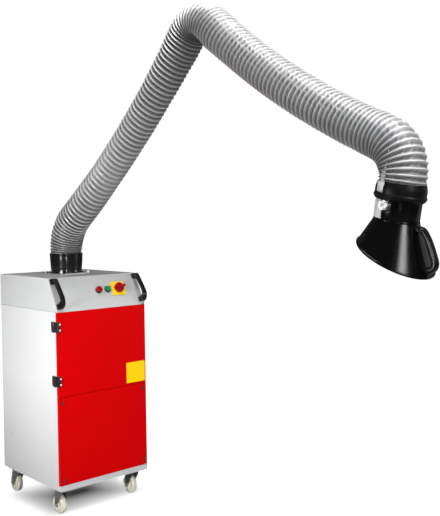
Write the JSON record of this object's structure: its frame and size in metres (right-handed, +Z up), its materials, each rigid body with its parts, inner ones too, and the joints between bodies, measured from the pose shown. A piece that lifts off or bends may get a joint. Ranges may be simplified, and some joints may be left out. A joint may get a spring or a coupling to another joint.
{
  "type": "mobile welding fume extractor",
  "caption": "Wheeled filter cabinet with a folding, hose-covered suction arm, tilting hood, hinged filter door, push handles and sprung control buttons.",
  "frame": {"origin": "on the floor under the middle of the cabinet", "axes": "+Z up, +X to the right and -Y to the front seen from the front; the arm at rest points along -Y"},
  "size_m": [0.565, 2.6835, 2.5095],
  "materials": {
    "side_sheet": "satin light grey powder coat",
    "console_sheet": "satin silver grey powder coat",
    "red_sheet": "gloss red powder coat",
    "base_sheet": "satin grey powder coat",
    "inner_sheet": "galvanised sheet",
    "black_metal": "semi-gloss black paint",
    "hood_sheet": "gloss black paint on spun aluminium",
    "black_plastic": "semi-gloss moulded",
    "red_plastic": "gloss moulded",
    "green_plastic": "gloss moulded",
    "yellow_plate": "satin moulded",
    "knob_metal": "knurled and anodised",
    "bright_zinc": "zinc plated",
    "fork_steel": "zinc plated pressing",
    "wheel_nylon": "cream moulded nylon",
    "link_alu": "mill finish",
    "motor_alu": "cast, painted grey",
    "shaft_steel": "turned",
    "rubber": "matte moulded",
    "hose_fabric": "coated glass fabric over a wire helix",
    "filter_paper": "pleated fibre",
    "label_film": "plain printed film",
    "box_plastic": "moulded enclosure"
  },
  "bodies": {
    "cabinet": {"base_frame": "base_sheet", "side_panel_left": "side_sheet", "side_panel_right": "side_sheet", "rear_panel": "side_sheet", "console_cover": "console_sheet", "mid_deck": "inner_sheet", "chamber_roof": "inner_sheet", "lower_panel": "red_sheet", "panel_screws": "black_metal", "hinge_leaves": "black_metal", "filter_seal": "rubber", "filter_cassette": "link_alu", "filter_media": "filter_paper", "spark_filter": "inner_sheet", "fan_housing": "inner_sheet", "motor": "motor_alu", "control_box": "box_plastic", "cable_gland": "black_plastic", "console_handles": "black_plastic", "switch_plate": "yellow_plate", "button_bezels": "black_plastic", "caster_plates": "fork_steel", "arm_flange": "base_sheet", "flange_bolts": "bright_zinc"},
    "door": {"filter_door": "red_sheet", "door_seal": "rubber", "label_card": "label_film", "door_hinge_arms": "black_metal"},
    "main_switch": {"switch_knob": "red_plastic"},
    "stop": {"stop_button": "red_plastic"},
    "start": {"start_button": "green_plastic"},
    "fan": {"impeller": "motor_alu", "motor_shaft": "shaft_steel"},
    "arm_base": {"swivel_duct": "black_metal", "base_cuff": "rubber", "shoulder_bracket": "link_alu", "hose_base": "hose_fabric"},
    "lower_arm": {"lower_link": "link_alu", "hose_lower": "hose_fabric", "hose_elbow": "hose_fabric", "shoulder_pin": "shaft_steel", "elbow_pin": "shaft_steel"},
    "upper_arm": {"upper_link": "link_alu", "hose_upper": "hose_fabric", "hose_wrist": "hose_fabric"},
    "hood": {"hood_neck": "hood_sheet", "hood_strap": "bright_zinc", "hood_cuff": "rubber", "hood_cone": "hood_sheet", "hood_handle": "black_plastic"},
    "damper": {"damper_blade": "bright_zinc", "damper_knob": "knob_metal"},
    "caster_fl": {"caster_fork_fl": "fork_steel"},
    "wheel_body_fl": {"wheel_fl": "wheel_nylon"},
    "caster_fr": {"caster_fork_fr": "fork_steel"},
    "wheel_body_fr": {"wheel_fr": "wheel_nylon"},
    "caster_rl": {"caster_fork_rl": "fork_steel"},
    "wheel_body_rl": {"wheel_rl": "wheel_nylon"},
    "caster_rr": {"caster_fork_rr": "fork_steel"},
    "wheel_body_rr": {"wheel_rr": "wheel_nylon"}
  },
  "joints": [
    {"name": "door_hinge", "type": "hinge", "parent": "cabinet", "child": "door", "pos_m": [-0.283, -0.288, 0.85], "axis": [0, 0, 1], "range_deg": [-110, 0]},
    {"name": "arm_swivel", "type": "hinge", "parent": "cabinet", "child": "arm_base", "pos_m": [0, 0.052, 1.3], "axis": [0, 0, 1], "range_deg": [-170, 170]},
    {"name": "shoulder", "type": "hinge", "parent": "arm_base", "child": "lower_arm", "pos_m": [0, 0.052, 1.432], "axis": [1, 0, 0], "range_deg": [-30, 28], "deforming": ["hose_base"]},
    {"name": "elbow", "type": "hinge", "parent": "lower_arm", "child": "upper_arm", "pos_m": [0, -1.135, 2.4], "axis": [1, 0, 0], "range_deg": [-60, 45], "deforming": ["hose_elbow"]},
    {"name": "hood_tilt", "type": "hinge", "parent": "upper_arm", "child": "hood", "pos_m": [0, -2.205, 1.765], "axis": [1, 0, 0], "range_deg": [-75, 45], "deforming": ["hose_wrist"]},
    {"name": "damper_turn", "type": "hinge", "parent": "hood", "child": "damper", "pos_m": [0, -2.19737, 1.5764], "axis": [1, 0, 0], "range_deg": [0, 90]},
    {"name": "main_switch_turn", "type": "hinge", "parent": "cabinet", "child": "main_switch", "pos_m": [0.13, -0.26286, 1.16336], "axis": [0, -0.8849, 0.4657], "range_deg": [0, 90]},
    {"name": "stop_press", "type": "slide", "parent": "cabinet", "child": "stop", "axis": [0, 0.8849, -0.4657], "range_m": [0, 0.004], "stiffness_N_per_m": 900, "springref_m": -0.002},
    {"name": "start_press", "type": "slide", "parent": "cabinet", "child": "start", "axis": [0, 0.8849, -0.4657], "range_m": [0, 0.003], "stiffness_N_per_m": 900, "springref_m": -0.002},
    {"name": "fan_spin", "type": "hinge", "parent": "cabinet", "child": "fan", "pos_m": [0, 0.02, 0.56], "axis": [0, 0, 1], "continuous": true},
    {"name": "swivel_fl", "type": "hinge", "parent": "cabinet", "child": "caster_fl", "pos_m": [-0.225, -0.238, 0.13], "axis": [0, 0, 1], "continuous": true},
    {"name": "roll_fl", "type": "hinge", "parent": "caster_fl", "child": "wheel_body_fl", "pos_m": [-0.225, -0.211, 0.05], "axis": [1, 0, 0], "continuous": true},
    {"name": "swivel_fr", "type": "hinge", "parent": "cabinet", "child": "caster_fr", "pos_m": [0.225, -0.238, 0.13], "axis": [0, 0, 1], "continuous": true},
    {"name": "roll_fr", "type": "hinge", "parent": "caster_fr", "child": "wheel_body_fr", "pos_m": [0.225, -0.211, 0.05], "axis": [1, 0, 0], "continuous": true},
    {"name": "swivel_rl", "type": "hinge", "parent": "cabinet", "child": "caster_rl", "pos_m": [-0.225, 0.238, 0.13], "axis": [0, 0, 1], "continuous": true},
    {"name": "roll_rl", "type": "hinge", "parent": "caster_rl", "child": "wheel_body_rl", "pos_m": [-0.225, 0.265, 0.05], "axis": [1, 0, 0], "continuous": true},
    {"name": "swivel_rr", "type": "hinge", "parent": "cabinet", "child": "caster_rr", "pos_m": [0.225, 0.238, 0.13], "axis": [0, 0, 1], "continuous": true},
    {"name": "roll_rr", "type": "hinge", "parent": "caster_rr", "child": "wheel_body_rr", "pos_m": [0.225, 0.265, 0.05], "axis": [1, 0, 0], "continuous": true}
  ]
}
